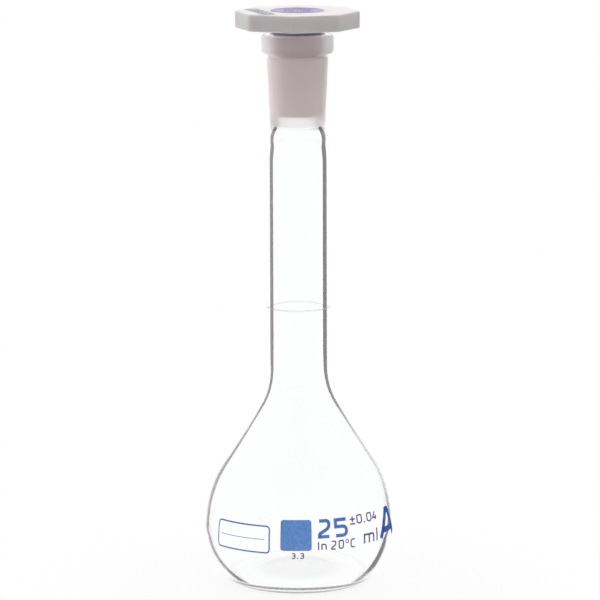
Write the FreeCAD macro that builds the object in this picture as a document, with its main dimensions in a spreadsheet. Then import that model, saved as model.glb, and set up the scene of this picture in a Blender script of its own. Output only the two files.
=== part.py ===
import FreeCAD, Part
import os
from math import atan2, cos, pi, radians, sin, sqrt
import Sketcher

V = FreeCAD.Vector
# Direction of the facet that the marking field lies beside, in degrees in the stopper's own frame.
FIELD_FACET = 202.5
doc = FreeCAD.newDocument("volumetric_flask")

# Driving dimensions of the glass, the enamel and the stopper, in millimetres and degrees.
# The origin is the centre of the foot, on the plane the flask stands on.
SIZES = {
    "rim_height": 108.53,
    "bead_radius": 7.1,
    "bead_depth": 4.23,
    "bead_turn_height": 2.1,
    "bead_edge": 0.6,
    "collar_radius": 6.0,
    "waist_radius": 5.35,
    "waist_height": 90.1,
    "neck_radius": 6.27,
    "neck_top": 84.4,
    "flank_angle": 32,
    "shoulder_sweep": 13,
    "belly_radius": 18.68,
    "belly_height": 10.2,
    "belly_sweep": 29,
    "lower_sweep": 11.5,
    "heel_sweep": 3,
    "punt_radius": 9.4,
    "punt_rise": 0.5,
    "bore_radius": 4.98,
    "bore_top": 86.6,
    "bore_shoulder_sweep": 15,
    "belly_wall": 0.98,
    "bore_belly_height": 11.8,
    "bore_belly_sweep": 22,
    "bore_lower_sweep": 13.4,
    "bore_heel_sweep": 2.6,
    "floor_height": 1,
    "floor_rise": 0.5,
    "ground_length": 17.83,
    "ground_taper": 0.05,
    "mouth_radius": 5.05,
    "mouth_bevel": 0.35,
    "ring_height": 55,
    "ring_width": 0.3,
    "enamel": 0.06,
    "patch_low": 10,
    "patch_high": 16,
    "patch_width": 6.1,
    "patch_band_span": 21,
    "patch_turn": 1.8,
    "patch_corner": 0.5,
    "head_gap": 1.22,
    "head_height": 3.33,
    "head_radius": 12.3,
    "head_turn": 4.5,
    "head_corner": 2,
    "head_edge": 0.28,
    "mark_place": 7.6,
    "mark_length": 12.6,
    "mark_width": 2.4,
    "mark_end_sweep": 1.6,
    "mark_depth": 0.12,
    "plug_play": 0.03,
    "plug_depth": 15.83,
    "plug_edge": 0.35,
    "plug_wall": 1.1,
    "plug_shoulder": 0.07,
    "plug_neck_radius": 4.3,
    "core_top": 106.8,
    "core_edge": 0.8,
    "disc_radius": 5.3,
    "disc_play": 0.06,
    "disc_seat": 0.9,
    "disc_height": 1.05,
    "disc_edge": 0.2,
    "disc_band_radius": 4.2,
    "disc_band_width": 0.25,
    "disc_band_depth": 0.15,
    "seal_play": 0.04,
    "seal_radius": 4.62,
    "seal_low": 0.17,
    "seal_clear": 0.05,
    "seal_edge": 0.12,
}

# Points where tangent arcs and lines of the glass meet, worked out from the sizes above.
MEETINGS = {
    "belly_in": "belly_radius - belly_wall",
    "bead_low": "rim_height - bead_depth",
    "bead_side": "bead_low + bead_turn_height",
    "bead_top": "rim_height - bead_edge",
    "bead_inner": "bead_radius - bead_edge",
    "bead_turn": "((bead_radius - collar_radius)^2 + bead_turn_height^2) / (2 * (bead_radius - collar_radius))",
    "waist_mid_radius": "(neck_radius + waist_radius) / 2",
    "waist_mid_height": "(neck_top + waist_height) / 2",
    "waist_sweep": "((neck_radius - waist_radius)^2 + (waist_height - neck_top)^2)"
                   " / (4 * (neck_radius - waist_radius))",
    "punt_sweep": "(punt_radius^2 + punt_rise^2) / (2 * punt_rise)",
    "ground_low": "rim_height - ground_length",
    "mouth_low": "rim_height - mouth_bevel",
    "mouth_top_radius": "mouth_radius + mouth_bevel",
    "throat_radius": "mouth_radius - ground_taper * (mouth_low - ground_low)",
    "throat_sweep": "((bore_radius - throat_radius)^2 + (ground_low - bore_top)^2)"
                    " / (2 * (bore_radius - throat_radius))",
    "ring_low": "ring_height - ring_width / 2",
    "ring_high": "ring_height + ring_width / 2",
    "ring_outer": "neck_radius + enamel",
    "patch_sweep": "belly_sweep + enamel",
    "head_low": "rim_height + head_gap",
    "head_top": "head_low + head_height",
    "mark_inner": "mark_place - mark_width / 2",
    "mark_outer": "mark_place + mark_width / 2",
    "mark_end": "mark_length / 2 - mark_end_sweep + sqrt(mark_end_sweep^2 - (mark_width / 2)^2)",
    "mark_start": "-mark_end",
    "plug_low": "rim_height - plug_depth",
    "plug_top_radius": "mouth_radius - plug_play",
    "plug_low_radius": "plug_top_radius - ground_taper * (mouth_low - plug_low)",
    "plug_shoulder_height": "rim_height + plug_shoulder",
    "plug_edge_radius": "plug_low_radius - plug_edge",
    "plug_edge_height": "plug_low + plug_edge",
    "core_low_radius": "plug_low_radius - plug_wall",
    "core_high_radius": "core_low_radius + ground_taper * (core_top - plug_low)",
    "core_edge_radius": "core_high_radius - core_edge",
    "core_edge_height": "core_top - core_edge",
    "disc_low": "head_top - disc_seat",
    "disc_rim": "disc_radius - disc_play",
    "disc_top": "disc_low + disc_height",
    "seal_inner": "plug_neck_radius + seal_play",
    "seal_foot": "rim_height + seal_low",
    "seal_top": "head_low - seal_clear",
}

dims = doc.addObject("Spreadsheet::Sheet", "dims")
row = 0
for alias, value in SIZES.items():
    row += 1
    dims.set("A%d" % row, alias)
    dims.set("B%d" % row, str(value))
    dims.setAlias("B%d" % row, alias)
doc.recompute()


def meeting(alias, formula):
    """One worked-out size in the sheet, under its own name."""
    global row
    row += 1
    dims.set("A%d" % row, alias)
    dims.set("B%d" % row, "=" + formula)
    dims.setAlias("B%d" % row, alias)


for alias, formula in MEETINGS.items():
    meeting(alias, formula)


def tangent_bulb(tail, neck, belly, height, sweep, shoulder, lower, heel, base):
    """Meeting points of one bulb wall: heel, lower round, belly round, flank and shoulder."""
    a = "flank_angle * 1 deg"
    meeting("lower_mid" + tail, "%s - %s" % (belly, lower))
    meeting("heel_mid" + tail, "lower_mid%s + sqrt((%s - %s)^2 - (%s - %s - %s)^2)"
            % (tail, lower, heel, height, base, heel))
    meeting("heel_share" + tail, "%s / (%s - %s)" % (lower, lower, heel))
    meeting("heel_top_radius" + tail, "lower_mid%s + (heel_mid%s - lower_mid%s) * heel_share%s"
            % (tail, tail, tail, tail))
    meeting("heel_top_height" + tail, "%s + (%s + %s - %s) * heel_share%s" % (height, base, heel, height, tail))
    meeting("flank_low_radius" + tail, "%s - %s * (1 - cos(%s))" % (belly, sweep, a))
    meeting("flank_low_height" + tail, "%s + %s * sin(%s)" % (height, sweep, a))
    meeting("flank_high_radius" + tail, "%s + %s * (1 - cos(%s))" % (neck, shoulder, a))
    meeting("flank_high_height" + tail, "flank_low_height%s + (flank_low_radius%s - flank_high_radius%s) / tan(%s)"
            % (tail, tail, tail, a))
    meeting("neck_foot" + tail, "flank_high_height%s + %s * sin(%s)" % (tail, shoulder, a))


tangent_bulb("_out", "neck_radius", "belly_radius", "belly_height", "belly_sweep", "shoulder_sweep",
             "lower_sweep", "heel_sweep", "0")
tangent_bulb("_in", "bore_radius", "belly_in", "bore_belly_height", "bore_belly_sweep", "bore_shoulder_sweep",
             "bore_lower_sweep", "bore_heel_sweep", "floor_height")
meeting("floor_mid", "floor_height + floor_rise")
meeting("floor_sweep", "(heel_mid_in^2 + floor_rise^2) / (2 * floor_rise)")
meeting("belly_mid", "belly_radius - belly_sweep")
meeting("patch_left", "-patch_width / 2")
meeting("patch_right", "patch_width / 2")
meeting("patch_inner_left", "patch_corner - patch_width / 2")
meeting("patch_inner_right", "patch_width / 2 - patch_corner")
meeting("patch_inner_low", "patch_low + patch_corner")
meeting("patch_inner_high", "patch_high - patch_corner")
meeting("patch_around_left", "-patch_width")
meeting("patch_around_right", "patch_width")
meeting("patch_around_low", "patch_low - patch_width")
meeting("patch_around_high", "patch_high + patch_width")
meeting("patch_band_low", "patch_low - 0.3")
meeting("patch_band_high", "patch_high + 0.3")
meeting("patch_band_low_in", "belly_mid + sqrt(belly_sweep^2 - (patch_band_low - belly_height)^2)")
meeting("patch_band_low_out", "belly_mid + sqrt(patch_sweep^2 - (patch_band_low - belly_height)^2)")
meeting("patch_band_high_in", "belly_mid + sqrt(belly_sweep^2 - (patch_band_high - belly_height)^2)")
meeting("patch_band_high_out", "belly_mid + sqrt(patch_sweep^2 - (patch_band_high - belly_height)^2)")
doc.recompute()


def size(alias):
    """Value of a named size."""
    return float(dims.get(alias))


def new_body(label):
    """Empty body for one piece."""
    body = doc.addObject("PartDesign::Body", label)
    body.Label = label
    doc.recompute()
    return body


def plane(body, role):
    """One of the body's own origin planes."""
    for item in body.Origin.OriginFeatures:
        if item.Role == role:
            return item


def new_sketch(body, role, name, height=None):
    """Sketch on an origin plane, lifted by a named height where one is given."""
    sketch = body.newObject("Sketcher::SketchObject", name)
    sketch.AttachmentSupport = (plane(body, role), [""])
    sketch.MapMode = "FlatFace"
    if height:
        sketch.setExpression("AttachmentOffset.Base.z", "dims." + height)
    doc.recompute()
    return sketch


def place(sketch, kind, geo, pos, alias):
    """Hold one coordinate of a point at a named size, or at zero on an axis."""
    if alias == "0":
        sketch.addConstraint(Sketcher.Constraint("PointOnObject", geo, pos, -2 if kind == "DistanceX" else -1))
        return
    index = sketch.addConstraint(Sketcher.Constraint(kind, -1, 1, geo, pos, size(alias)))
    sketch.setExpression("Constraints[%d]" % index, "dims." + alias)


def outline(sketch, corners, sweeps):
    """Closed outline in the radius-height plane through named corners.

    sweeps gives, for an edge number, the radius of its arc and the side of its centre: 1 left, -1 right.
    """
    points = []
    for r, z in corners:
        points.append(V(0 if r == "0" else size(r), 0 if z == "0" else size(z), 0))
    edges = []
    for i, a in enumerate(points):
        b = points[(i + 1) % len(points)]
        if i in sweeps:
            radius = size(sweeps[i][0])
            side = sweeps[i][1]
            half = (b - a) * 0.5
            across = V(-half.y, half.x, 0).normalize()
            mid = a + half + across * side * sqrt(max(radius ** 2 - half.Length ** 2, 0))
            start = atan2(a.y - mid.y, a.x - mid.x)
            end = atan2(b.y - mid.y, b.x - mid.x)
            circle = Part.Circle(mid, V(0, 0, 1), radius)
            if side > 0:
                geo = sketch.addGeometry(Part.ArcOfCircle(circle, start, end), False)
                edges.append((geo, 1, 2))
            else:
                geo = sketch.addGeometry(Part.ArcOfCircle(circle, end, start), False)
                edges.append((geo, 2, 1))
        else:
            geo = sketch.addGeometry(Part.LineSegment(a, b), False)
            edges.append((geo, 1, 2))
    for i, (geo, first, last) in enumerate(edges):
        after = edges[(i + 1) % len(edges)]
        sketch.addConstraint(Sketcher.Constraint("Coincident", geo, last, after[0], after[1]))
        place(sketch, "DistanceX", geo, first, corners[i][0])
        place(sketch, "DistanceY", geo, first, corners[i][1])
        if i in sweeps:
            index = sketch.addConstraint(Sketcher.Constraint("Radius", geo, size(sweeps[i][0])))
            sketch.setExpression("Constraints[%d]" % index, "dims." + sweeps[i][0])
    doc.recompute()


def turned(body, kind, name, corners, sweeps, angle=None):
    """Revolution or Groove of an outline about the upright axis."""
    sketch = new_sketch(body, "XZ_Plane", name + "_outline")
    outline(sketch, corners, sweeps)
    before = body.Shape.Volume if body.Tip else 0
    feature = body.newObject("PartDesign::" + kind, name)
    feature.Profile = sketch
    feature.ReferenceAxis = (sketch, ["V_Axis"])
    feature.Angle = 360
    if angle:
        feature.Midplane = True
        feature.setExpression("Angle", "dims." + angle)
    doc.recompute()
    grew = body.Shape.Volume > before
    if grew != (kind == "Revolution"):
        raise RuntimeError("wrong direction: " + name)
    return feature


def rounded(body, name, base, edges, alias):
    """Fillet of chosen edges at a named size."""
    names = []
    for i, edge in enumerate(base.Shape.Edges):
        if edges(edge):
            names.append("Edge%d" % (i + 1))
    if not names:
        raise RuntimeError("no edges: " + name)
    feature = body.newObject("PartDesign::Fillet", name)
    feature.Base = (base, names)
    feature.setExpression("Radius", "dims." + alias)
    doc.recompute()
    return feature


def circle_sketch(body, name, radius, height):
    """One circle about the axis, at a named height."""
    sketch = new_sketch(body, "XY_Plane", name, height)
    geo = sketch.addGeometry(Part.Circle(V(0, 0, 0), V(0, 0, 1), size(radius)), False)
    sketch.addConstraint(Sketcher.Constraint("Coincident", geo, 3, -1, 1))
    index = sketch.addConstraint(Sketcher.Constraint("Radius", geo, size(radius)))
    sketch.setExpression("Constraints[%d]" % index, "dims." + radius)
    doc.recompute()
    return sketch


# Glass: foot with a shallow punt, pear-shaped bulb, straight neck, waisted socket and bead rim.
flask = new_body("flask_body")
turned(flask, "Revolution", "blown_form", [
    ("0", "punt_rise"),
    ("punt_radius", "0"),
    ("heel_mid_out", "0"),
    ("heel_top_radius_out", "heel_top_height_out"),
    ("belly_radius", "belly_height"),
    ("flank_low_radius_out", "flank_low_height_out"),
    ("flank_high_radius_out", "flank_high_height_out"),
    ("neck_radius", "neck_foot_out"),
    ("neck_radius", "neck_top"),
    ("waist_mid_radius", "waist_mid_height"),
    ("waist_radius", "waist_height"),
    ("collar_radius", "bead_low"),
    ("bead_radius", "bead_side"),
    ("bead_radius", "bead_top"),
    ("bead_inner", "rim_height"),
    ("0", "rim_height"),
], {
    0: ("punt_sweep", -1),
    2: ("heel_sweep", 1),
    3: ("lower_sweep", 1),
    4: ("belly_sweep", 1),
    6: ("shoulder_sweep", -1),
    8: ("waist_sweep", 1),
    9: ("waist_sweep", -1),
    11: ("bead_turn", 1),
    13: ("bead_edge", 1),
})
turned(flask, "Groove", "hollow", [
    ("0", "floor_mid"),
    ("heel_mid_in", "floor_height"),
    ("heel_top_radius_in", "heel_top_height_in"),
    ("belly_in", "bore_belly_height"),
    ("flank_low_radius_in", "flank_low_height_in"),
    ("flank_high_radius_in", "flank_high_height_in"),
    ("bore_radius", "neck_foot_in"),
    ("bore_radius", "bore_top"),
    ("throat_radius", "ground_low"),
    ("mouth_radius", "mouth_low"),
    ("mouth_top_radius", "rim_height"),
    ("0", "rim_height"),
], {
    0: ("floor_sweep", -1),
    1: ("bore_heel_sweep", 1),
    2: ("bore_lower_sweep", 1),
    3: ("bore_belly_sweep", 1),
    5: ("bore_shoulder_sweep", -1),
    7: ("throat_sweep", 1),
})

# Enamel: the filling line all round the neck, and the square to write on at the front of the bulb.
ring = new_body("graduation_ring")
turned(ring, "Revolution", "line", [
    ("neck_radius", "ring_low"),
    ("ring_outer", "ring_low"),
    ("ring_outer", "ring_high"),
    ("neck_radius", "ring_high"),
], {})

patch = new_body("marking_patch")
turned(patch, "Revolution", "band", [
    ("patch_band_low_in", "patch_band_low"),
    ("patch_band_low_out", "patch_band_low"),
    ("patch_band_high_out", "patch_band_high"),
    ("patch_band_high_in", "patch_band_high"),
], {
    1: ("patch_sweep", 1),
    3: ("belly_sweep", -1),
}, "patch_band_span")
frame = new_sketch(patch, "YZ_Plane", "square_outline")
outline(frame, [
    ("patch_inner_left", "patch_low"),
    ("patch_inner_right", "patch_low"),
    ("patch_right", "patch_inner_low"),
    ("patch_right", "patch_inner_high"),
    ("patch_inner_right", "patch_high"),
    ("patch_inner_left", "patch_high"),
    ("patch_left", "patch_inner_high"),
    ("patch_left", "patch_inner_low"),
], {
    1: ("patch_corner", 1),
    3: ("patch_corner", 1),
    5: ("patch_corner", 1),
    7: ("patch_corner", 1),
})
outline(frame, [
    ("patch_around_left", "patch_around_low"),
    ("patch_around_right", "patch_around_low"),
    ("patch_around_right", "patch_around_high"),
    ("patch_around_left", "patch_around_high"),
], {})
band_volume = patch.Shape.Volume
square = patch.newObject("PartDesign::Pocket", "square")
square.Profile = frame
square.Type = "ThroughAll"
square.Reversed = True
doc.recompute()
if not 0.5 * band_volume < patch.Shape.Volume < 0.95 * band_volume:
    raise RuntimeError("square cut the wrong way")
patch.Placement = FreeCAD.Placement(V(0, 0, 0), FreeCAD.Rotation(V(0, 0, 1), -90 - size("patch_turn")))

# Stopper: octagonal head with rounded edges, seat for the disc, hollow tapered plug on a narrower neck.
stopper = new_body("stopper_body")
octagon = new_sketch(stopper, "XY_Plane", "head_outline", "head_low")
corners = []
for k in range(8):
    a = radians(45 * k)
    corners.append(V(size("head_radius") * cos(a), size("head_radius") * sin(a), 0))
sides = []
for k in range(8):
    sides.append(octagon.addGeometry(Part.LineSegment(corners[k], corners[(k + 1) % 8]), False))
round_about = octagon.addGeometry(Part.Circle(V(0, 0, 0), V(0, 0, 1), size("head_radius")), True)
octagon.addConstraint(Sketcher.Constraint("Coincident", round_about, 3, -1, 1))
for k in range(8):
    octagon.addConstraint(Sketcher.Constraint("Coincident", sides[k], 2, sides[(k + 1) % 8], 1))
    octagon.addConstraint(Sketcher.Constraint("PointOnObject", sides[k], 1, round_about))
    if k:
        octagon.addConstraint(Sketcher.Constraint("Equal", sides[0], sides[k]))
octagon.addConstraint(Sketcher.Constraint("PointOnObject", sides[0], 1, -1))
index = octagon.addConstraint(Sketcher.Constraint("Radius", round_about, size("head_radius")))
octagon.setExpression("Constraints[%d]" % index, "dims.head_radius")
doc.recompute()
head = stopper.newObject("PartDesign::Pad", "head")
head.Profile = octagon
head.setExpression("Length", "dims.head_height")
doc.recompute()
upright = rounded(stopper, "head_corners", head,
                  lambda e: abs(e.Length - size("head_height")) < 0.01, "head_corner")
level = rounded(stopper, "head_edges", upright,
                lambda e: e.BoundBox.ZLength < 0.01, "head_edge")
turned(stopper, "Revolution", "plug", [
    ("0", "plug_low"),
    ("plug_edge_radius", "plug_low"),
    ("plug_low_radius", "plug_edge_height"),
    ("plug_top_radius", "mouth_low"),
    ("plug_top_radius", "plug_shoulder_height"),
    ("plug_neck_radius", "plug_shoulder_height"),
    ("plug_neck_radius", "disc_low"),
    ("0", "disc_low"),
], {
    1: ("plug_edge", 1),
})
turned(stopper, "Groove", "core", [
    ("0", "plug_low"),
    ("core_low_radius", "plug_low"),
    ("core_high_radius", "core_edge_height"),
    ("core_edge_radius", "core_top"),
    ("0", "core_top"),
], {
    2: ("core_edge", 1),
})
seat_volume = stopper.Shape.Volume
seat = stopper.newObject("PartDesign::Pocket", "disc_recess")
seat.Profile = circle_sketch(stopper, "disc_recess_outline", "disc_radius", "head_top")
seat.setExpression("Length", "dims.disc_seat")
doc.recompute()
if abs(seat_volume - stopper.Shape.Volume - pi * size("disc_radius") ** 2 * size("disc_seat")) > 0.5:
    raise RuntimeError("disc recess cut the wrong way")

# Shallow oblong field beside one facet, where such heads carry their joint size.
field = new_sketch(stopper, "XY_Plane", "field_outline")
field.AttachmentOffset = FreeCAD.Placement(V(0, 0, 0), FreeCAD.Rotation(V(0, 0, 1), FIELD_FACET))
field.setExpression("AttachmentOffset.Base.z", "dims.head_top")
outline(field, [
    ("mark_inner", "mark_start"),
    ("mark_outer", "mark_start"),
    ("mark_outer", "mark_end"),
    ("mark_inner", "mark_end"),
], {
    0: ("mark_end_sweep", 1),
    2: ("mark_end_sweep", 1),
})
head_volume = stopper.Shape.Volume
marking = stopper.newObject("PartDesign::Pocket", "marking_field")
marking.Profile = field
marking.setExpression("Length", "dims.mark_depth")
doc.recompute()
field_volume = size("mark_length") * size("mark_width") * size("mark_depth")
if not 0.8 * field_volume < head_volume - stopper.Shape.Volume < field_volume:
    raise RuntimeError("marking field cut the wrong way")
stopper.Placement = FreeCAD.Placement(V(0, 0, 0), FreeCAD.Rotation(V(0, 0, 1), -size("head_turn")))

# Disc in the head, with one shallow ring moulded into its top.
disc = new_body("stopper_disc")
blank = disc.newObject("PartDesign::Pad", "blank")
blank.Profile = circle_sketch(disc, "blank_outline", "disc_rim", "disc_low")
blank.setExpression("Length", "dims.disc_height")
doc.recompute()
rounded(disc, "top_edge", blank, lambda e: e.BoundBox.ZMin > size("disc_top") - 0.01, "disc_edge")
meeting("band_inner", "disc_band_radius - disc_band_width")
meeting("band_low", "disc_top - disc_band_depth")
doc.recompute()
turned(disc, "Groove", "moulded_ring", [
    ("band_inner", "band_low"),
    ("disc_band_radius", "band_low"),
    ("disc_band_radius", "disc_top"),
    ("band_inner", "disc_top"),
], {})

# Ring round the narrow neck of the plug, just under the head.
seal = new_body("colour_ring")
seal_form = turned(seal, "Revolution", "band", [
    ("seal_inner", "seal_foot"),
    ("seal_radius", "seal_foot"),
    ("seal_radius", "seal_top"),
    ("seal_inner", "seal_top"),
], {})
rounded(seal, "band_edges", seal_form,
        lambda e: e.BoundBox.ZLength < 0.01 and e.BoundBox.XMax > size("seal_radius") - 0.01, "seal_edge")

doc.recompute()
for item in doc.Objects:
    if "Invalid" in item.State or "Error" in item.State:
        raise RuntimeError("not built: " + item.Name)

os.makedirs("parts", exist_ok=True)
for body in (flask, ring, patch, stopper, disc, seal):
    shape = body.Shape
    if shape.isNull() or not shape.isValid() or len(shape.Solids) != 1:
        raise RuntimeError("bad shape: " + body.Label)
    shape.exportStep("parts/%s.step" % body.Label)
    print(body.Label, round(shape.Volume, 2), shape.BoundBox)
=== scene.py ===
from math import atan2, ceil, cos, degrees, hypot, pi, radians, sin, sqrt, tan

import bmesh
import bpy
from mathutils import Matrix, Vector


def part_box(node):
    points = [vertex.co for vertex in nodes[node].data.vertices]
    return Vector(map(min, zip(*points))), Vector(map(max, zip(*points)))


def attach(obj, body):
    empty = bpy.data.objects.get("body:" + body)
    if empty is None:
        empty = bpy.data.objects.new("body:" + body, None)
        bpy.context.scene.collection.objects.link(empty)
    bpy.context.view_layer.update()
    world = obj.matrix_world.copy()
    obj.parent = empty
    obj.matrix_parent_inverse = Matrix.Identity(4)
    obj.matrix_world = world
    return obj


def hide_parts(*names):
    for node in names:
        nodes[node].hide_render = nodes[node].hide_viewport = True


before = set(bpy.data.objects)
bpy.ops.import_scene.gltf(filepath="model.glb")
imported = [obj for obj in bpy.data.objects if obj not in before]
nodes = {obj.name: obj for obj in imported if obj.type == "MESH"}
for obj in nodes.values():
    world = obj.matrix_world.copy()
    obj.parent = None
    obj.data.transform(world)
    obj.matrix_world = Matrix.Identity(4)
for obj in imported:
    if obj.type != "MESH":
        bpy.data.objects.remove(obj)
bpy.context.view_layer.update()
scene = bpy.context.scene
scene.view_settings.view_transform = "Standard"

# Sizes of the object are in millimetres, in the frame's own axes.
MM = 0.001
WHITE = (1, 1, 1, 1)


# Nodes of a finish

class Field:
    """A value on a surface. Arithmetic on it adds the Math nodes that work it out."""

    def __init__(self, tree, socket):
        self.tree = tree
        self.socket = socket

    def beside(self, name):
        """Another output of the same node."""
        return Field(self.tree, self.socket.node.outputs[name])

    def math(self, operation, first, second):
        node = self.tree.nodes.new("ShaderNodeMath")
        node.operation = operation
        for socket, value in zip(node.inputs, (first, second)):
            if isinstance(value, Field):
                self.tree.links.new(value.socket, socket)
            else:
                socket.default_value = value
        return Field(self.tree, node.outputs[0])

    def __add__(self, other):
        return self.math("ADD", self, other)

    def __radd__(self, other):
        return self.math("ADD", other, self)

    def __sub__(self, other):
        return self.math("SUBTRACT", self, other)

    def __rsub__(self, other):
        return self.math("SUBTRACT", other, self)

    def __mul__(self, other):
        return self.math("MULTIPLY", self, other)

    def __rmul__(self, other):
        return self.math("MULTIPLY", other, self)

    def __truediv__(self, other):
        return self.math("DIVIDE", self, other)


class Finish:
    """The nodes of one material or of the world."""

    def __init__(self, tree):
        self.tree = tree
        tree.nodes.clear()

    def add(self, kind, settings=None, sockets=None, out=0):
        """One node: its settings are set first, then its sockets get their values or links."""
        node = self.tree.nodes.new(kind)
        for name, value in (settings or {}).items():
            setattr(node, name, value)
        for name, value in (sockets or {}).items():
            if isinstance(value, Field):
                self.tree.links.new(value.socket, node.inputs[name])
            else:
                node.inputs[name].default_value = value
        return Field(self.tree, node.outputs[out]) if node.outputs else None

    def blend(self, mask, first, second):
        """Colour from first to second as the mask goes from 0 to 1."""
        return self.add("ShaderNodeMix", {"data_type": "RGBA"}, {0: mask, 6: first, 7: second}, 2)

    def ease(self, value, low, high):
        """0 below low, 1 above high and a smooth step between."""
        return self.add("ShaderNodeMapRange", {"interpolation_type": "SMOOTHSTEP"},
                        {"Value": value, "From Min": low, "From Max": high})

    def layer(self, mask, first, second):
        """Shader from first to second as the mask goes from 0 to 1."""
        return self.add("ShaderNodeMixShader", None, {0: mask, 1: first, 2: second})

    def see_through(self, tint=WHITE):
        """Shader that lets light straight through."""
        return self.add("ShaderNodeBsdfTransparent", None, {"Color": tint})

    def slant(self):
        """How far the surface is turned from sight: 0 where it is seen square on, 1 where it is seen edge on."""
        return self.add("ShaderNodeLayerWeight", None, {"Blend": 0.5}, "Facing")

    def from_behind(self):
        """1 where a face is seen from its back, as from inside the glass, and 0 elsewhere."""
        return self.add("ShaderNodeNewGeometry", None, None, "Backfacing")

    def place(self):
        """Place on the object, in metres."""
        return self.add("ShaderNodeTexCoord", None, None, "Object")

    def rise(self):
        """Height, in millimetres."""
        return self.add("ShaderNodeSeparateXYZ", None, {0: self.place()}, "Z") / MM

    def reach(self):
        """Distance from the upright axis, in millimetres."""
        x = self.add("ShaderNodeSeparateXYZ", None, {0: self.place()})
        y = x.beside("Y")
        return self.add("ShaderNodeMath", {"operation": "SQRT"}, {0: x * x + y * y}) / MM

    def grain(self, size, detail, roughness=0.5):
        """Noise from 0 to 1 with grains of a size in millimetres."""
        return self.add("ShaderNodeTexNoise", None, {
            "Vector": self.place(),
            "Scale": 1 / (size * MM),
            "Detail": detail,
            "Roughness": roughness,
        })

    def relief(self, height, depth):
        """Normal of a fine relief, of a depth in millimetres."""
        return self.add("ShaderNodeBump", None, {"Height": height, "Strength": 1, "Distance": depth * MM})

    def output(self, shader):
        self.add("ShaderNodeOutputMaterial", None, {"Surface": shader})


def new_finish(name):
    """Empty material and the finish that fills it."""
    material = bpy.data.materials.new(name)
    material.use_nodes = True
    return material, Finish(material.node_tree)


def rgb(r, g, b):
    """A colour that is given as it looks on screen, in linear values."""
    def linear(v):
        v = v / 255
        return v / 12.92 if v <= 0.04045 else ((v + 0.055) / 1.055) ** 2.4
    return (linear(r), linear(g), linear(b), 1)


def let_light_through(f, glass, tint):
    """Glass whose shadow is as pale as the tint."""
    shadow = f.add("ShaderNodeLightPath", None, None, "Is Shadow Ray")
    f.output(f.layer(shadow, glass, f.see_through(tint)))


GLASS_TINT = (0.995, 0.997, 0.998, 1)
GLASS_SHADOW = (0.97, 0.975, 0.98, 1)
GLASS_BEND = 1.473
PAINTED_GREY = rgb(96, 90, 97)
PAINTED_LINE_SHADE = rgb(62, 36, 66)
# Under the foot the outside gets painted grey shade, and so does the middle of the bore's floor.
FOOT_FADE = (0.5, 1)
FLOOR_FADE = (2.3, 2.6)
FLOOR_REACH_FADE = (6, 10.5)
FLOOR_SHADE = 0.22
# From this slant on, the bore mirrors all light that comes from inside the wall.
MIRROR_FADE = (0.262, 0.266)
# The dark line of painted shade along the edge of the bore lies between these slants, and its parts change at these
# heights.
LINE_START = (0.256, 0.264)
LINE_END = (0.272, 0.284)
LINE_FOOT = (2, 2.6)
LINE_HEEL = (3, 5)
LINE_BELLY = (8, 11)
LINE_FLANK = (12, 22)
LINE_SHOULDER = (26, 36)
LINE_NECK = (30.5, 45.5)
LINE_NECK_FOOT = (43, 48)
LINE_WAIST = (83, 86)
# The painted shade of the line is uneven from left to right across the middle of the bore, deeper on one side or the
# other by height.
LINE_SIDES = (-6, 6)
# Where the wall turns into the floor, the corner gets painted shade.
CORNER_REACH = (12.4, 12.7)
CORNER_TOP = (1.95, 2.2)
CORNER_SHADE = 0.7


def bore_edge_shade(f, rise, slant):
    """Painted shade along the bore's edge, in place of glass's dark edge lines: a line that is wider on the neck and
    uneven round the bulb.
    """
    x = f.add("ShaderNodeSeparateXYZ", None, {0: f.place()}, "X") / MM
    right = f.ease(x, *LINE_SIDES)
    heel = 1 - f.ease(rise, *LINE_HEEL)
    neck = f.ease(rise, *LINE_NECK)
    below_belly = (1 - heel) * (1 - f.ease(rise, *LINE_BELLY))
    # By how much of a slant the line is wider and starts earlier, and then how deep its tone is.
    wide = neck * (0.056 + 0.02 * right) + 0.008 * right * below_belly
    early = 0.008 * f.ease(rise, *LINE_NECK_FOOT) + 0.006 * f.ease(rise, *LINE_WAIST)
    line = f.ease(slant + early, *LINE_START) * (1 - f.ease(slant - wide, *LINE_END))
    deep = 0.7 + 0.15 * heel + 0.06 * neck
    deep_right = 0.2 - 0.35 * heel - 0.55 * f.ease(rise, *LINE_FLANK) + 0.42 * f.ease(rise, *LINE_SHOULDER)
    corner = f.ease(f.reach(), *CORNER_REACH) * (1 - f.ease(rise, *CORNER_TOP))
    return line * (deep + right * deep_right) * f.ease(rise, *LINE_FOOT) + CORNER_SHADE * corner


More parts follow.
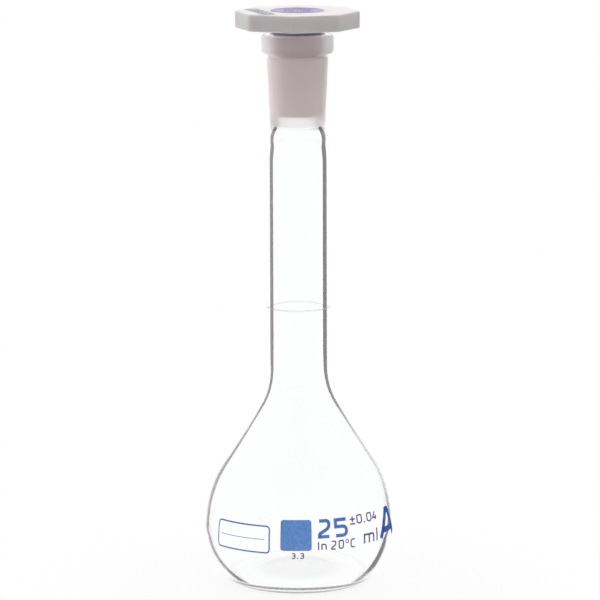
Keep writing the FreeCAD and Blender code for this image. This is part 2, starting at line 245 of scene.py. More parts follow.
def fire_polished_glass(name, shaded_bore):
    """Clear glass, faintly wavy from drawing and blowing. The bore has painted shade: dark along its edges, and a
    little grey on its floor. The outside has painted grey shade only where it turns under the foot."""
    material, f = new_finish(name)
    inside = f.from_behind()
    rise = f.rise()
    # Painted grey shade on the middle of the bore's floor, or on the outside under the foot.
    if shaded_bore:
        grey = FLOOR_SHADE * (1 - f.ease(f.reach(), *FLOOR_REACH_FADE)) * (1 - f.ease(rise, *FLOOR_FADE))
    else:
        grey = (1 - inside) * (1 - f.ease(rise, *FOOT_FADE))
    glass = f.add("ShaderNodeBsdfPrincipled", None, {
        "Base Color": f.blend(grey, GLASS_TINT, PAINTED_GREY),
        "Roughness": 0,
        "IOR": GLASS_BEND,
        "Transmission Weight": 1,
        "Normal": f.relief(f.grain(size=9, detail=1), depth=0.001),
    })
    if shaded_bore:
        slant = f.slant()
        # Inside the wall the bore mirrors all light that meets it at a slant, and lets the rest out.
        out = f.add("ShaderNodeBsdfRefraction", None, {"Color": GLASS_TINT, "Roughness": 0, "IOR": GLASS_BEND})
        glass = f.layer(inside * (1 - f.ease(slant, *MIRROR_FADE)), glass, out)
        # Painted shade: a dark matte coat along the bore's edges and in the corner at its floor.
        dark = f.add("ShaderNodeBsdfDiffuse", None, {"Color": PAINTED_LINE_SHADE})
        glass = f.layer(inside * bore_edge_shade(f, rise, slant), glass, dark)
    # Light that the wall has mirrored three times leaves it.
    mirrored = f.add("ShaderNodeLightPath", None, None, "Glossy Depth")
    glass = f.layer(inside * f.ease(mirrored, 2, 3), glass, f.see_through())
    let_light_through(f, glass, GLASS_SHADOW)
    return material


# The ground bore is frosted above these heights, and below them only where it is seen at these slants.
FROST_FADE = (92.4, 93)
FROST_SLANT = (0.12, 0.27)
# Inside the rim its sides get a painted sheen: a pale matte coat, mixed in by slant.
SHEEN_FADE = (104.2, 104.8)
SHEEN_SLANT = (0.12, 0.42)


def ground_glass():
    """The socket's bore, ground to a fine grain that scatters the light. Inside the rim its sides carry a painted
    sheen.
    """
    material, f = new_finish("ground_glass")
    grit = f.grain(0.12, 3)
    grain = f.relief(grit, 0.01)
    glass = f.add("ShaderNodeBsdfPrincipled", None, {
        "Base Color": (0.98, 0.975, 0.975, 1),
        "Roughness": 0.4 + 0.14 * grit,
        "IOR": GLASS_BEND,
        "Transmission Weight": 1,
        "Normal": grain,
    })
    frost = f.add("ShaderNodeBsdfTranslucent", None, {"Color": (0.96, 0.935, 0.94, 1), "Normal": grain})
    sheen = f.add("ShaderNodeBsdfDiffuse", None, {"Color": (0.98, 0.935, 0.965, 1)})
    rise = f.rise()
    slant = f.slant()
    upper = f.ease(rise, *FROST_FADE)
    frosted = 0.15 + 0.6 * f.ease(slant, *FROST_SLANT) * (1 - upper) + 0.63 * upper + 0.16 * grit
    # Painted sheen: a pale matte coat lightens the rim's sides where they are seen at a slant.
    pale = 0.75 * f.ease(rise, *SHEEN_FADE) * f.ease(slant, *SHEEN_SLANT)
    ground = f.layer(pale, f.layer(frosted, glass, frost), sheen)
    let_light_through(f, ground, (0.93, 0.93, 0.93, 1))
    return material


def etched_line():
    """Faint frosted line on the neck."""
    material, f = new_finish("etched_line")
    grit = f.grain(0.08, 3)
    line = f.add("ShaderNodeBsdfPrincipled", None, {
        "Base Color": f.blend(grit, rgb(205, 203, 208), rgb(238, 236, 240)),
        "Roughness": 0.35 + 0.3 * grit,
        "IOR": 1.47,
        "Transmission Weight": 0.85,
    })
    f.output(f.layer(0.6 + 0.3 * grit, line, f.see_through()))
    return material


def fired_enamel(name, deep, pale):
    """Screen-printed enamel, a film that light comes through: mottled, with tiny pinholes of paler glaze."""
    material, f = new_finish(name)
    mottle = f.grain(0.5, 4, 0.6)
    tone = f.ease(mottle, 0.3, 0.7)
    speck = f.ease(f.grain(0.16, 2), 0.6, 0.78) * 0.5
    pinhole = rgb(190, 205, 235)
    glaze = f.add("ShaderNodeBsdfPrincipled", None, {
        "Base Color": f.blend(speck, f.blend(tone, deep, pale), pinhole),
        "Roughness": 0.38 + 0.2 * mottle,
        "Normal": f.relief(mottle, 0.012),
    })
    glows = [f.add("ShaderNodeBsdfTranslucent", None, {"Color": colour}) for colour in (deep, pale, pinhole)]
    glow = f.layer(speck, f.layer(tone, glows[0], glows[1]), glows[2])
    film = f.layer(0.65 + 0.1 * mottle, glaze, glow)
    f.output(f.layer(f.from_behind(), film, f.see_through()))
    return material


# Heights over which the plug's painted shade turns into the head's colour.
HEAD_FADE = (108.4, 109.9)


def moulded_plastic(name, pale, deep, satin, plug_shade=None):
    """Injection-moulded polyethylene: cloudy colour, satin skin with a fine grain. A plug gets a darker colour than its
    head: painted shade, as it sits in the socket.
    """
    material, f = new_finish(name)
    cloud = f.ease(f.grain(5, 3), 0.3, 0.7)
    skin = f.grain(0.25, 3, 0.6)
    colour = f.blend(cloud, pale, deep)
    if plug_shade:
        # Painted shade: below the head the plug takes a darker, warmer colour.
        colour = f.blend(f.ease(f.rise(), *HEAD_FADE), plug_shade, colour)
    plastic = f.add("ShaderNodeBsdfPrincipled", None, {
        "Base Color": colour,
        "Roughness": satin + 0.15 * skin,
        "Subsurface Weight": 0.5,
        "Subsurface Radius": (1.0, 0.72, 0.66),
        "Subsurface Scale": 2.2 * MM,
        "Normal": f.relief(skin, 0.012),
    })
    f.output(plastic)
    return material


# Turned forms

def sweep(start, end, radius, side, turn):
    """Points after start along an arc to end. Side 1 has the centre on the left of the way, -1 on the right."""
    half = ((end[0] - start[0]) / 2, (end[1] - start[1]) / 2)
    reach = hypot(*half)
    off = side * sqrt(max(radius ** 2 - reach ** 2, 0)) / reach
    mid = (start[0] + half[0] - half[1] * off, start[1] + half[1] + half[0] * off)
    a = atan2(start[1] - mid[1], start[0] - mid[0])
    b = atan2(end[1] - mid[1], end[0] - mid[0])
    angle = (b - a) % (2 * pi) if side > 0 else -((a - b) % (2 * pi))
    count = max(2, ceil(abs(degrees(angle)) / turn))
    points = []
    for k in range(1, count):
        points.append((mid[0] + radius * cos(a + angle * k / count), mid[1] + radius * sin(a + angle * k / count)))
    return points + [end]


def trace(start, legs, turn=4, stride=1.6):
    """Outline from legs of (end, radius, side), or of (end,) where straight, and the leg that each step is on."""
    points = [start]
    owner = []
    for number, leg in enumerate(legs):
        end = leg[0]
        first = points[-1]
        if len(leg) == 3:
            steps = sweep(first, end, leg[1], leg[2], turn)
        else:
            count = max(1, ceil(hypot(end[0] - first[0], end[1] - first[1]) / stride))
            steps = []
            for k in range(1, count + 1):
                share = k / count
                steps.append((first[0] + (end[0] - first[0]) * share, first[1] + (end[1] - first[1]) * share))
        points += steps
        owner += [number] * len(steps)
    return points, owner


def new_piece(name, mesh, body, slot, *materials):
    """Object from a finished mesh: it rides a body and takes the finishes given. The slot is not used."""
    piece = bpy.data.objects.new(name, mesh)
    scene.collection.objects.link(piece)
    for material in materials:
        mesh.materials.append(material)
    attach(piece, body)
    return piece


def finished_mesh(name, bm, crease=30):
    """Mesh with faces outwards, smooth but for edges sharper than the crease angle."""
    bmesh.ops.recalc_face_normals(bm, faces=bm.faces)
    mesh = bpy.data.meshes.new(name)
    bm.to_mesh(mesh)
    bm.free()
    mesh.shade_smooth()
    mesh.set_sharp_from_angle(angle=radians(crease))
    return mesh


# A point of an outline nearer to the axis than this, in millimetres, is on it.
ON_AXIS = 1e-6


def turned_mesh(name, points, closed=False, finishes=None, drift=None, sides=192):
    """Outline of (radius, height) turned about the upright axis. finishes holds the material number of each
    step along it, and drift how far each point's circle lies to the right of the axis."""
    bm = bmesh.new()
    rings = []
    for number, (r, z) in enumerate(points):
        right = drift[number] if drift else 0
        if r < ON_AXIS:
            rings.append([bm.verts.new((right * MM, 0, z * MM))])
            continue
        ring = []
        for k in range(sides):
            a = 2 * pi * k / sides
            ring.append(bm.verts.new(((right + r * cos(a)) * MM, r * sin(a) * MM, z * MM)))
        rings.append(ring)
    steps = list(zip(rings, rings[1:]))
    if closed:
        steps.append((rings[-1], rings[0]))
    for number, (low, high) in enumerate(steps):
        for k in range(sides):
            after = (k + 1) % sides
            corners = [low[k % len(low)], low[after % len(low)], high[after % len(high)], high[k % len(high)]]
            face = bm.faces.new(list(dict.fromkeys(corners)))
            if finishes:
                face.material_index = finishes[number]
    return finished_mesh(name, bm)


# The glass

RIM_HEIGHT = 108.53
BEAD_RADIUS = 7.1
BEAD_LOW = 104.7
BEAD_SIDE = 105.6
BEAD_EDGE = 0.6
COLLAR_RADIUS = 6.0
GROOVE_LOW = 104.0
GROOVE_DEPTH = 0.3
WAIST_RADIUS = 5.35
WAIST_HEIGHT = 90.1
NECK_RADIUS = 6.27
NECK_TOP = 84.4
FLANK_ANGLE = radians(32)
SHOULDER_SWEEP = 13
BELLY_RADIUS = 18.68
BELLY_HEIGHT = 10.2
BELLY_SWEEP = 29
LOWER_SWEEP = 11.5
HEEL_SWEEP = 3
PUNT_RADIUS = 9.4
PUNT_RISE = 0.5
BORE_RADIUS = 4.98
BORE_TOP = 86.6
BORE_SHOULDER_SWEEP = 15
BORE_BELLY_RADIUS = 17.9
BORE_BELLY_HEIGHT = 11.26
BORE_BELLY_SWEEP = 23.6
BORE_LOWER_SWEEP = 12.12
BORE_HEEL_SWEEP = 0.95
FLOOR_HEIGHT = 1.62
FLOOR_RISE = 0.5
GROUND_LOW = 90.7
THROAT_RADIUS = 4.176
MOUTH_LOW = 108.18
MOUTH_RADIUS = 5.05
MOUTH_BEVEL = 0.35
GLASS_SIDES = 224


def bulb_wall(neck, belly, height, sweep_up, shoulder, lower, heel, base):
    """Start on the base and legs up one wall of the bulb, to the foot of the neck."""
    mid = belly - lower
    heel_mid = mid + sqrt((lower - heel) ** 2 - (height - base - heel) ** 2)
    share = lower / (lower - heel)
    heel_top = (mid + (heel_mid - mid) * share, height + (base + heel - height) * share)
    flank_low = (belly - sweep_up * (1 - cos(FLANK_ANGLE)), height + sweep_up * sin(FLANK_ANGLE))
    high_radius = neck + shoulder * (1 - cos(FLANK_ANGLE))
    flank_high = (high_radius, flank_low[1] + (flank_low[0] - high_radius) / tan(FLANK_ANGLE))
    neck_foot = (neck, flank_high[1] + shoulder * sin(FLANK_ANGLE))
    legs = [
        (heel_top, heel, 1),
        ((belly, height), lower, 1),
        (flank_low, sweep_up, 1),
        (flank_high,),
        (neck_foot, shoulder, -1),
    ]
    return (heel_mid, base), legs


def half_turn(low, high):
    """Radius of the two equal arcs of an S between two upright lines, and its middle."""
    across = abs(low[0] - high[0])
    up = high[1] - low[1]
    return (across ** 2 + up ** 2) / (4 * across), ((low[0] + high[0]) / 2, (low[1] + high[1]) / 2)


def dome(reach, rise):
    """Radius of the arc that leaves a line square to its radius and rises off it over a reach."""
    return (reach ** 2 + rise ** 2) / (2 * rise)


def glass_outline():
    """Closed section of the glass: up the outside, over the rim and down the bore."""
    heel_out, out_legs = bulb_wall(NECK_RADIUS, BELLY_RADIUS, BELLY_HEIGHT, BELLY_SWEEP, SHOULDER_SWEEP,
                                   LOWER_SWEEP, HEEL_SWEEP, 0)
    heel_in, in_legs = bulb_wall(BORE_RADIUS, BORE_BELLY_RADIUS, BORE_BELLY_HEIGHT, BORE_BELLY_SWEEP,
                                 BORE_SHOULDER_SWEEP, BORE_LOWER_SWEEP, BORE_HEEL_SWEEP, FLOOR_HEIGHT)
    waist, waist_mid = half_turn((NECK_RADIUS, NECK_TOP), (WAIST_RADIUS, WAIST_HEIGHT))
    throat = dome(GROUND_LOW - BORE_TOP, BORE_RADIUS - THROAT_RADIUS)
    bead_turn = dome(BEAD_SIDE - BEAD_LOW, BEAD_RADIUS - COLLAR_RADIUS)
    legs = [
        ((PUNT_RADIUS, 0), dome(PUNT_RADIUS, PUNT_RISE), -1),
        (heel_out,),
    ] + out_legs + [
        ((NECK_RADIUS, NECK_TOP),),
        (waist_mid, waist, 1),
        ((WAIST_RADIUS, WAIST_HEIGHT), waist, -1),
        ((COLLAR_RADIUS, GROOVE_LOW),),
        ((COLLAR_RADIUS - GROOVE_DEPTH, (GROOVE_LOW + BEAD_LOW) / 2),),
        ((COLLAR_RADIUS, BEAD_LOW),),
        ((BEAD_RADIUS, BEAD_SIDE), bead_turn, 1),
        ((BEAD_RADIUS, RIM_HEIGHT - BEAD_EDGE),),
        ((BEAD_RADIUS - BEAD_EDGE, RIM_HEIGHT), BEAD_EDGE, 1),
        ((MOUTH_RADIUS + MOUTH_BEVEL, RIM_HEIGHT),),
    ]
    bore = len(legs)
    legs += [
        ((MOUTH_RADIUS, MOUTH_LOW),),
        ((THROAT_RADIUS, GROUND_LOW),),
        ((BORE_RADIUS, BORE_TOP), throat, -1),
    ]
    # Down the bore the legs of its bulb wall run backwards.
    ends = [heel_in] + [leg[0] for leg in in_legs]
    legs.append((ends[-1],))
    for leg, end in zip(reversed(in_legs), reversed(ends[:-1])):
        legs.append((end,) if len(leg) == 1 else (end, leg[1], -leg[2]))
    legs.append(((0, FLOOR_HEIGHT + FLOOR_RISE), dome(heel_in[0], FLOOR_RISE), 1))
    points, owner = trace((0, PUNT_RISE), legs, turn=2, stride=1)
    return points, owner, bore


def swell(place, middle, reach):
    """Smooth bump of height 1 about a middle."""
    off = (place - middle) / reach
    return max(1 - off * off, 0) ** 2


def bore_drift(height):
    """How far the blown bore lies to the right of the axis, most at the shoulder, and to the left at the heel."""
    shoulder = 0.276 * swell(height, middle=28, reach=18)
    heel = 0.15 * swell(height, middle=6, reach=8)
    return shoulder - heel


def make_glass(clear, ground_finish, bore_finish):
    """The glass, with one finish outside, one on the ground socket and one on the rest of the bore."""
    points, owner, bore = glass_outline()
    ground = bore + 2
    finishes = []
    drift = [0]
    for leg, point in zip(owner, points[1:]):
        finishes.append(0 if leg < bore else 1 if leg < ground else 2)
        drift.append(bore_drift(point[1]) if leg >= bore else 0)
    mesh = turned_mesh("flask_glass", points, False, finishes, drift, GLASS_SIDES)
    glass = new_piece("flask_glass", mesh, "flask", "clear_glass", clear, ground_finish, bore_finish)
    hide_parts("flask_body")


def make_ring(finish):
    """The filling line, a thin band round the neck."""
    low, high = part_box("graduation_ring")
    bottom = low.z / MM
    top = high.z / MM
    outer = NECK_RADIUS + 0.05
    inner = NECK_RADIUS + 0.004
    bevel = 0.03
    points = [(inner, bottom), (outer, bottom + bevel), (outer, top - bevel), (inner, top)]
    mesh = turned_mesh("filling_line", points, True)
    ring = new_piece("filling_line", mesh, "flask", "etched_line", finish)
    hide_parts("graduation_ring")


# Print on the bulb

ENAMEL_LOW = 0.004
ENAMEL_TOP = 0.045
SHARP = 0


def on_bulb(turn, height, lift):
    """Point on the bulb, by degrees round from the front, height and lift off the glass in millimetres."""
    round_of = BELLY_SWEEP if height >= BELLY_HEIGHT else LOWER_SWEEP
    r = BELLY_RADIUS - round_of + sqrt((round_of + lift) ** 2 - (height - BELLY_HEIGHT) ** 2)
    a = radians(turn)
    return Vector((r * sin(a), -r * cos(a), height)) * MM


# Centre lines of the figures in a box of width and height 1. Corners are rounded, except where they are marked sharp.
FIGURES = {
    "0": [[(0.5, 1), (1, 1), (1, 0), (0, 0), (0, 1), (0.5, 1)]],
    "1": [[(0.1, 0.75), (0.6, 1, SHARP), (0.6, 0)]],
    "2": [[(0, 1), (1, 1), (1, 0.56), (0, 0.18), (0, 0, SHARP), (1, 0)]],
    "3": [[(0, 1), (1, 1), (1, 0.53), (0.3, 0.53)], [(0.3, 0.53), (1, 0.53), (1, 0), (0, 0)]],
    "4": [[(0.6, 1), (0, 0.27, SHARP), (1, 0.27)], [(0.74, 0.58), (0.74, 0)]],
    "5": [[(1, 1), (0, 1, SHARP), (0, 0.57, SHARP), (1, 0.57), (1, 0), (0, 0)]],
    "9": [[(0, 0), (1, 0), (1, 1), (0, 1), (0, 0.45), (1, 0.45)]],
    ".": [[(0, 0), (1, 0)]],
    "/": [[(0, 0), (1, 1)]],
    "±": [[(0, 0.62), (1, 0.62)], [(0.5, 1), (0.5, 0.24)], [(0, 0), (1, 0)]],
    "°": [[(0.5, 1), (1, 1), (1, 0.62), (0, 0.62), (0, 1), (0.5, 1)]],
    "C": [[(1, 1), (0, 1), (0, 0), (1, 0)]],
    "I": [[(0.5, 0), (0.5, 1)]],
    "n": [[(0, 0), (0, 0.7, SHARP), (1, 0.7), (1, 0)]],
    "m": [[(0, 0), (0, 1, SHARP), (1, 1), (1, 0)], [(0.5, 1), (0.5, 0)]],
    "A": [[(0, 0), (0.42, 1, SHARP), (0.58, 1, SHARP), (1, 0)], [(0.15, 0.28), (0.85, 0.28)]],
}


STROKE_STEP = 0.33
CORNER_STEPS = 6
# Points closer than this, in millimetres, are one point.
SAME_PLACE = 1e-4


def eased(points, turn):
    """Line with its corners rounded by a turn, and with no step longer than a stroke's step."""
    bent = [Vector(points[0][:2])]
    for before, corner, after in zip(points, points[1:], points[2:]):
        at = Vector(corner[:2])
        into = Vector(before[:2]) - at
        out = Vector(after[:2]) - at
        reach = min(turn, into.length / 2, out.length / 2)
        if len(corner) == 3:
            bent.append(at)
            continue
        start = at + into.normalized() * reach
        end = at + out.normalized() * reach
        for k in range(CORNER_STEPS + 1):
            share = k / CORNER_STEPS
            bent.append(start.lerp(at, share).lerp(at.lerp(end, share), share))
    bent.append(Vector(points[-1][:2]))
    line = [bent[0]]
    for point in bent[1:]:
        gap = (point - line[-1]).length
        if gap < SAME_PLACE:
            continue
        count = ceil(gap / STROKE_STEP)
        first = line[-1]
        for k in range(1, count + 1):
            line.append(first.lerp(point, k / count))
    return line


def ribbon(bm, line, half, lay):
    """Flat stroke along a line, laid on a surface by lay(across, up, top)."""
    closed = (line[0] - line[-1]).length < SAME_PLACE
    if closed:
        line = line[:-1]
    rows = []
    for k, point in enumerate(line):
        before = line[k - 1] if k or closed else None
        after = line[(k + 1) % len(line)] if closed or k + 1 < len(line) else None
        into = (point - before).normalized() if before else (after - point).normalized()
        out = (after - point).normalized() if after else into
        way = (into + out).normalized()
        side = Vector((-way.y, way.x)) * half / max(0.5, way.dot(into))
        row = []
        for top in (False, True):
            for sign in (1, -1):
                edge = point + side * sign
                row.append(bm.verts.new(lay(edge.x, edge.y, top)))
        rows.append(row)
    spans = list(zip(rows, rows[1:]))
    if closed:
        spans.append((rows[-1], rows[0]))
    for a, b in spans:
        for i, j in ((0, 1), (1, 3), (3, 2), (2, 0)):
            bm.faces.new((a[i], a[j], b[j], b[i]))
    if not closed:
        for row in (rows[0], rows[-1]):
            bm.faces.new((row[0], row[1], row[3], row[2]))


def draw_figure(bm, figure, left, low, width, height, stroke, turn, lay):
    """One figure whose strokes fill the box from left and low."""
    half = stroke / 2
    for line in FIGURES[figure]:
        placed = []
        for point in line:
            across = left + half + point[0] * max(width - stroke, 0)
            up = low + half + point[1] * (height - stroke)
            placed.append((across, up) + tuple(point[2:]))
        if figure == ".":
            placed = [(left, low + half), (left + width, low + half)]
        ribbon(bm, eased(placed, turn), half, lay)


# Arc length on the belly for one degree round.
DEGREE = radians(1) * BELLY_RADIUS


def bulb_lay(across, up, top):
    """Point of a stroke on the bulb, by arc length round from the front and height."""
    return on_bulb(across / DEGREE, up, ENAMEL_TOP if top else ENAMEL_LOW)


def print_line(name, figures, low, stroke, turn, finish):
    """A line of print on the bulb. Each figure has its start and end in degrees and its height."""
    bm = bmesh.new()
    for figure, start, end, height in figures:
        draw_figure(bm, figure, start * DEGREE, low, (end - start) * DEGREE, height, stroke, turn, bulb_lay)
    new_piece(name, finished_mesh(name, bm), "flask", "patch_enamel", finish)


def make_print(figure_blue, slate, deep_blue):
    """Capacity, tolerance, temperature and class, which any such flask carries, and the number of its glass."""
    print_line("capacity_figures", [("2", 11.4, 19.5, 3.72), ("5", 21.8, 30.9, 3.72)],
               low=12.32, stroke=0.66, turn=0.95, finish=figure_blue)
    print_line("tolerance_figures", [
        ("±", 32.4, 37.0, 1.72), ("0", 37.8, 42.2, 1.8), (".", 43.7, 44.7, 1.8),
        ("0", 46.1, 50.7, 1.8), ("4", 51.5, 56.0, 1.8),
    ], low=14.42, stroke=0.29, turn=0.5, finish=slate)
    print_line("temperature_figures", [
        ("I", 11.3, 12.2, 1.8), ("n", 13.4, 16.8, 1.8), ("2", 19.5, 22.9, 1.8), ("0", 24.3, 27.9, 1.8),
        ("C", 32.4, 36.0, 1.8),
    ], low=9.97, stroke=0.27, turn=0.5, finish=slate)
    print_line("degree_mark", [("°", 29.0, 31.2, 1.8)], low=9.97, stroke=0.17, turn=0.4, finish=slate)
    print_line("unit_letters", [("m", 42.6, 52.0, 2.1), ("I", 54.2, 55.1, 2.93)],
               low=10.13, stroke=0.38, turn=0.5, finish=slate)
    print_line("class_letter", [("A", 57.8, 80.6, 6.35)], low=9.85, stroke=1.15, turn=0.5, finish=deep_blue)
    print_line("glass_figures", [("3", -4.6, -2.0, 1.2), (".", -1.1, -0.4, 1.2), ("3", 0.5, 3.1, 1.2)],
               low=8.4, stroke=0.22, turn=0.4, finish=slate)


def make_patch(finish):
    """The square to write on: a rounded sheet of enamel that follows the bulb."""
    low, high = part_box("marking_patch")
    left = low.x / MM
    right = high.x / MM
    bottom = low.z / MM
    top = high.z / MM
    middle = degrees(atan2(left + right, -2 * low.y / MM))
    corner = 0.5
    corner_steps = [0, 0.1, 0.22, 0.36, 0.5]
    up = 16
    across = 24
    half = (right - left) / 2 / DEGREE
    heights = [bottom + step for step in corner_steps]
    for k in range(1, up):
        heights.append(bottom + corner + (top - bottom - 2 * corner) * k / up)
    heights += [top - step for step in reversed(corner_steps)]
    bm = bmesh.new()
    rows = []
    for height in heights:
        into = max(corner - (height - bottom), corner - (top - height), 0)
        inset = (corner - sqrt(corner ** 2 - into ** 2)) / DEGREE
        row = []
        for k in range(across + 1):
            turn = middle + (half - inset) * (2 * k / across - 1)
            row.append([bm.verts.new(on_bulb(turn, height, lift)) for lift in (ENAMEL_LOW, ENAMEL_TOP)])
        rows.append(row)
    for low_row, high_row in zip(rows, rows[1:]):
        for k in range(across):
            for side in (0, 1):
                bm.faces.new([v[side] for v in (low_row[k], low_row[k + 1], high_row[k + 1], high_row[k])])
    rim = rows[0] + [row[-1] for row in rows[1:-1]] + rows[-1][::-1] + [row[0] for row in rows[-2:0:-1]]
    for a, b in zip(rim, rim[1:] + rim[:1]):
        bm.faces.new((a[0], b[0], b[1], a[1]))
    patch = new_piece("writing_square", finished_mesh("writing_square", bm), "flask", "patch_enamel", finish)
    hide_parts("marking_patch")


def make_note_frame(finish):
    """Thin frame with one ruled line, to write on, beside the square."""
    left = -57 * DEGREE
    right = -18 * DEGREE
    low = 9.4
    high = 14.6
    middle = (left + right) / 2
    ruled = (low + high) / 2
    margin = 1
    bm = bmesh.new()
    corners = [(middle, high), (right, high), (right, low), (left, low), (left, high), (middle, high)]
    ribbon(bm, eased(corners, turn=0.8), half=0.14, lay=bulb_lay)
    ribbon(bm, eased([(left + margin, ruled), (right - margin, ruled)], turn=0), half=0.06, lay=bulb_lay)
    new_piece("note_frame", finished_mesh("note_frame", bm), "flask", "patch_enamel", finish)


# Top of the stopper

FIELD_WAY = radians(198)
FIELD_PLACE = 7.6
FIELD_LOW = 112.965
FIELD_FACE = 113.1
FIELD_TOP = 113.15
# The figures start a little below the face that they stand on.
FIGURE_SINK = 0.01


def on_field(across, up, height):
    """Point over the marking field of the head, which reads from outside."""
    out = FIELD_PLACE - up
    x = out * cos(FIELD_WAY) - across * sin(FIELD_WAY)
    y = out * sin(FIELD_WAY) + across * cos(FIELD_WAY)
    return Vector((x, y, height)) * MM


def field_lay(across, up, top):
    """Point of a stroke on the marking field."""
    return on_field(across, up, FIELD_TOP if top else FIELD_FACE - FIGURE_SINK)


def make_size_plate(finish, figure_finish):
    """Oblong field on the head, with the joint size standing up from it."""
    end = 5.65
    half = 1.4
    turn = 1.5
    legs = [((end, -half),), ((end, half), turn, 1), ((-end, half),), ((-end, -half), turn, 1)]
    outline, _ = trace((-end, -half), legs)
    bm = bmesh.new()
    low = [bm.verts.new(on_field(across, up, FIELD_LOW)) for across, up in outline[1:]]
    high = [bm.verts.new(on_field(across, up, FIELD_FACE)) for across, up in outline[1:]]
    bm.faces.new(low)
    bm.faces.new(high)
    for k in range(len(low)):
        bm.faces.new((low[k - 1], low[k], high[k], high[k - 1]))
    new_piece("size_plate", finished_mesh("size_plate", bm), "stopper", "white_plastic", finish)
    bm = bmesh.new()
    figures = [("1", -4.1, 0.9), ("0", -2.7, 1.4), ("/", -0.75, 1.2), ("1", 0.95, 0.9), ("9", 2.35, 1.4)]
    for figure, left, width in figures:
        draw_figure(bm, figure, left, low=-0.95, width=width, height=1.9, stroke=0.36, turn=0.5, lay=field_lay)
    new_piece("size_figures", finished_mesh("size_figures", bm), "stopper", "white_plastic", figure_finish)


def make_disc(finish):
    """Colour disc: a lip round a dished face, with a moulded ring and short bars."""
    low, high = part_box("stopper_disc")
    foot = low.z / MM
    top = high.z / MM
    rim = high.x / MM
    face = top - 0.14
    points = [
        (0, foot), (rim - 0.1, foot), (rim, foot + 0.1), (rim, top - 0.24), (rim - 0.04, top - 0.1),
        (rim - 0.14, top - 0.02), (rim - 0.26, top), (rim - 0.5, top), (rim - 0.62, face), (3.75, face),
        (3.65, face + 0.08), (3.35, face + 0.08), (3.25, face), (0, face),
    ]
    disc = new_piece("colour_disc", turned_mesh("colour_disc", points), "stopper", "blue_plastic", finish)
    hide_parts("stopper_disc")
    bar_top = face + 0.1
    bar_foot = face - 0.02

    def disc_lay(across, up, raised):
        return Vector((across, up, bar_top if raised else bar_foot)) * MM

    bm = bmesh.new()
    bars = 12
    for k in range(bars):
        a = 2 * pi * k / bars
        line = [Vector((r * cos(a), r * sin(a))) for r in (1.3, 1.8, 2.3, 2.8)]
        ribbon(bm, line, half=0.2, lay=disc_lay)
    new_piece("disc_bars", finished_mesh("disc_bars", bm), "stopper", "blue_plastic", finish)


# Studio

def make_world():
    """Surround that looks white, also through the glass. Its soft grey light is brighter from above and behind."""
    world = bpy.data.worlds.new("studio")
    scene.world = world
    world.use_nodes = True
    f = Finish(world.node_tree)
    way = f.add("ShaderNodeTexCoord", None, None, "Generated")
    y = f.add("ShaderNodeSeparateXYZ", None, {0: way}, "Y")
    z = y.beside("Z")
    studio = f.blend(f.ease(z, 0, 0.85), (0.16, 0.16, 0.165, 1), (0.72, 0.71, 0.72, 1))
    studio = f.blend(f.ease(y, 0.1, 1) * 0.5, studio, (0.8, 0.8, 0.8, 1))
    seen = f.add("ShaderNodeLightPath", None, None, "Is Camera Ray")
    seen = seen + seen.beside("Is Glossy Ray") + seen.beside("Is Transmission Ray")
    colour = f.blend(seen, studio, WHITE)
    light = f.add("ShaderNodeBackground", None, {"Color": colour, "Strength": 1})
    f.add("ShaderNodeOutputWorld", None, {"Surface": light})


def add_lamp(name, place, aim, size, watts):
    """Round soft lamp, which the glass neither mirrors nor shows."""
    lamp = bpy.data.lights.new(name, "AREA")
    lamp.shape = "DISK"
    lamp.size = size
    lamp.energy = watts
    holder = bpy.data.objects.new(name, lamp)
    holder.location = place
    holder.rotation_euler = (Vector(aim) - Vector(place)).to_track_quat("-Z", "Y").to_euler()
    holder.visible_transmission = False
    holder.visible_glossy = False
    scene.collection.objects.link(holder)


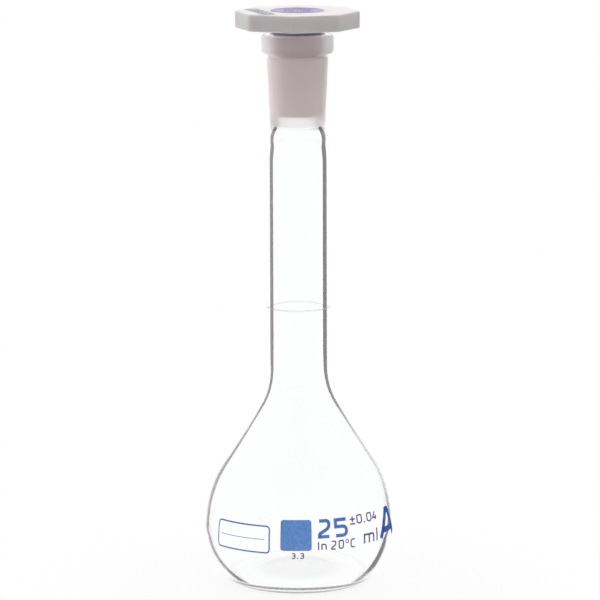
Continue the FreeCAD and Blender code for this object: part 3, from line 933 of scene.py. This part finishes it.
def make_floor():
    """Pale floor that keeps a faint shadow and turns white away from the flask."""
    bm = bmesh.new()
    bmesh.ops.create_circle(bm, cap_ends=True, segments=96, radius=0.16)
    mesh = bpy.data.meshes.new("floor")
    bm.to_mesh(mesh)
    bm.free()
    material, f = new_finish("pale_floor")
    far = f.add("ShaderNodeVectorMath", {"operation": "LENGTH"}, {0: f.place()}, "Value")
    seen = f.add("ShaderNodeLightPath", None, None, "Is Camera Ray")
    paper = f.add("ShaderNodeBsdfDiffuse", None, {"Color": (0.9, 0.9, 0.9, 1)})
    white = f.add("ShaderNodeEmission", None, {"Color": WHITE, "Strength": 1})
    share = 0.85 + 0.15 * f.ease(far, 0.02, 0.07)
    f.output(f.layer((seen + seen.beside("Is Glossy Ray")) * share, paper, white))
    mesh.materials.append(material)
    floor = bpy.data.objects.new("floor", mesh)
    scene.collection.objects.link(floor)
    floor.visible_transmission = False


def make_camera():
    """Long lens that looks slightly down on the flask, in front of it, with the photo's small tilt."""
    camera = bpy.data.cameras.new("camera")
    camera.lens = 247.9
    camera.sensor_width = 36
    camera.clip_start = 0.05
    picture_width = 600
    camera.shift_x = 1.8 / picture_width
    holder = bpy.data.objects.new("camera", camera)
    holder.location = (0, -0.8, 0.187)
    aim = Vector((0, 0, 0.05618))
    tilt = radians(-0.17)
    turn = (aim - holder.location).to_track_quat("-Z", "Y").to_euler()
    turn.rotate_axis("Z", tilt)
    holder.rotation_euler = turn
    scene.collection.objects.link(holder)
    scene.camera = holder


make_camera()
make_world()
make_floor()
add_lamp("top_light", place=(0.1, 0.5, 0.9), aim=(0, 0, 0.1), size=0.8, watts=4)
add_lamp("left_light", place=(-0.8, 0.45, 0.35), aim=(0, 0, 0.1), size=0.5, watts=2.7)

make_glass(fire_polished_glass("clear_glass", False), ground_glass(), fire_polished_glass("bore_glass", True))
make_ring(etched_line())
make_print(fired_enamel("figure_blue", rgb(84, 124, 204), rgb(108, 148, 222)),
           fired_enamel("slate_blue", rgb(98, 93, 144), rgb(124, 119, 166)),
           fired_enamel("deep_blue", rgb(44, 88, 174), rgb(62, 110, 192)))
make_patch(fired_enamel("patch_blue", rgb(106, 152, 222), rgb(126, 172, 236)))
make_note_frame(fired_enamel("line_blue", rgb(78, 130, 208), rgb(100, 152, 222)))

# The last colour is the plug's painted shade inside the socket.
white = moulded_plastic("white_plastic", rgb(240, 238, 239), rgb(236, 229, 228), 0.42, rgb(225, 213, 212))
lilac = moulded_plastic("lilac_plastic", rgb(164, 156, 200), rgb(182, 174, 212), 0.4)
dark = moulded_plastic("dark_blue_plastic", rgb(170, 160, 212), rgb(184, 174, 224), 0.4)
make_disc(lilac)
make_size_plate(moulded_plastic("grey_plastic", rgb(172, 169, 174), rgb(186, 183, 187), 0.45), white)
for node, material in (("stopper_body", white), ("colour_ring", dark)):
    mesh = nodes[node].data
    mesh.materials.clear()
    mesh.materials.append(material)
